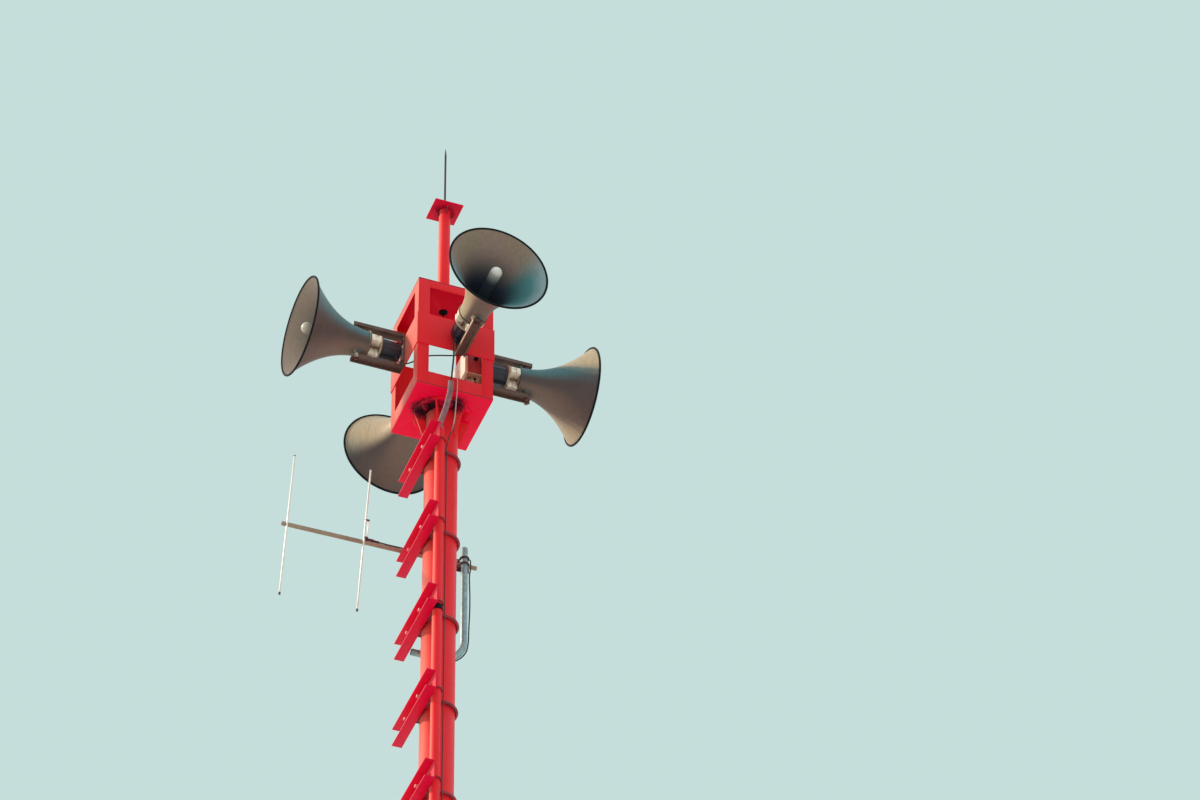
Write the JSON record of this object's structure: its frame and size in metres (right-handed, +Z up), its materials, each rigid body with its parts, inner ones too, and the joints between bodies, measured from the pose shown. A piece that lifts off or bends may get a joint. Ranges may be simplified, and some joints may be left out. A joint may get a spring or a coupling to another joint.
{
  "type": "civil defense siren tower",
  "caption": "Tall red pipe mast with step irons, carrying a square head with horn loudspeakers facing each way, a lightning rod on top and a small side antenna.",
  "frame": {"origin": "centre of the underside of the mast's base plate, at ground level", "axes": "+Z up along the mast; -Y is the way the front horn points; +X to the right along the head's front face"},
  "size_m": [1.5302, 1.5393, 16.319],
  "materials": {
    "red_paint": "semi-gloss red enamel, a little sun-faded",
    "flange_steel": "dark grimy red primer",
    "bracket_steel": "weathered dark steel",
    "horn_shell": "matt grey-beige horn paint",
    "horn_tube": "matt grey-beige horn paint",
    "rim_rubber": "matt black",
    "collar_paint": "cream paint",
    "driver_case": "satin black",
    "rod_steel": "dull dark steel",
    "clamp_steel": "weathered galvanized steel",
    "zinc_pipe": "dull galvanized steel",
    "box_shell": "matt cream",
    "boom_tube": "dull anodised tube",
    "element_rod": "bright drawn rod",
    "black_cable": "matt black sheath",
    "light_cable": "light grey sheath"
  },
  "bodies": {
    "tower": {"base_plate": "red_paint", "mast_lower": "red_paint", "mast_middle": "red_paint", "mast_upper": "red_paint", "head_flange": "flange_steel", "bottom_plate": "red_paint", "corner_posts": "red_paint", "bottom_rails": "red_paint", "mid_panels": "red_paint", "top_rails": "red_paint", "top_plate": "red_paint", "top_pole": "red_paint", "cap_plate": "red_paint", "lightning_rod": "rod_steel", "steps": "red_paint", "step_clamps": "clamp_steel", "riser_pipe": "red_paint", "riser_head": "zinc_pipe", "junction_box": "box_shell", "antenna_support": "zinc_pipe", "antenna_boom": "boom_tube", "antenna_elements": "element_rod", "antenna_clamp": "clamp_steel", "driver_leads": "black_cable", "riser_cable": "black_cable", "control_cable": "light_cable", "feed_cable": "black_cable", "front_bracket": "bracket_steel", "right_bracket": "bracket_steel", "back_bracket": "bracket_steel", "left_bracket": "bracket_steel"},
    "front_horn": {"front_bell": "horn_shell", "front_plug": "horn_tube", "front_rim": "rim_rubber", "front_collar": "collar_paint", "front_driver": "driver_case"},
    "right_horn": {"right_bell": "horn_shell", "right_plug": "horn_tube", "right_rim": "rim_rubber", "right_collar": "collar_paint", "right_driver": "driver_case"},
    "back_horn": {"back_bell": "horn_shell", "back_plug": "horn_tube", "back_rim": "rim_rubber", "back_collar": "collar_paint", "back_driver": "driver_case"},
    "left_horn": {"left_bell": "horn_shell", "left_plug": "horn_tube", "left_rim": "rim_rubber", "left_collar": "collar_paint", "left_driver": "driver_case"}
  },
  "joints": [
    {"name": "front_horn_pan", "type": "hinge", "parent": "tower", "child": "front_horn", "pos_m": [0.019, -0.45, 14.7515], "axis": [0, 0, 1], "range_deg": [-15, 15]},
    {"name": "right_horn_pan", "type": "hinge", "parent": "tower", "child": "right_horn", "pos_m": [0.45, 0, 14.7715], "axis": [0, 0, 1], "range_deg": [-15, 15]},
    {"name": "back_horn_pan", "type": "hinge", "parent": "tower", "child": "back_horn", "pos_m": [0, 0.45, 14.7715], "axis": [0, 0, 1], "range_deg": [-15, 15]},
    {"name": "left_horn_pan", "type": "hinge", "parent": "tower", "child": "left_horn", "pos_m": [-0.45, 0.014, 14.7745], "axis": [0, 0, 1], "range_deg": [-15, 15]}
  ]
}
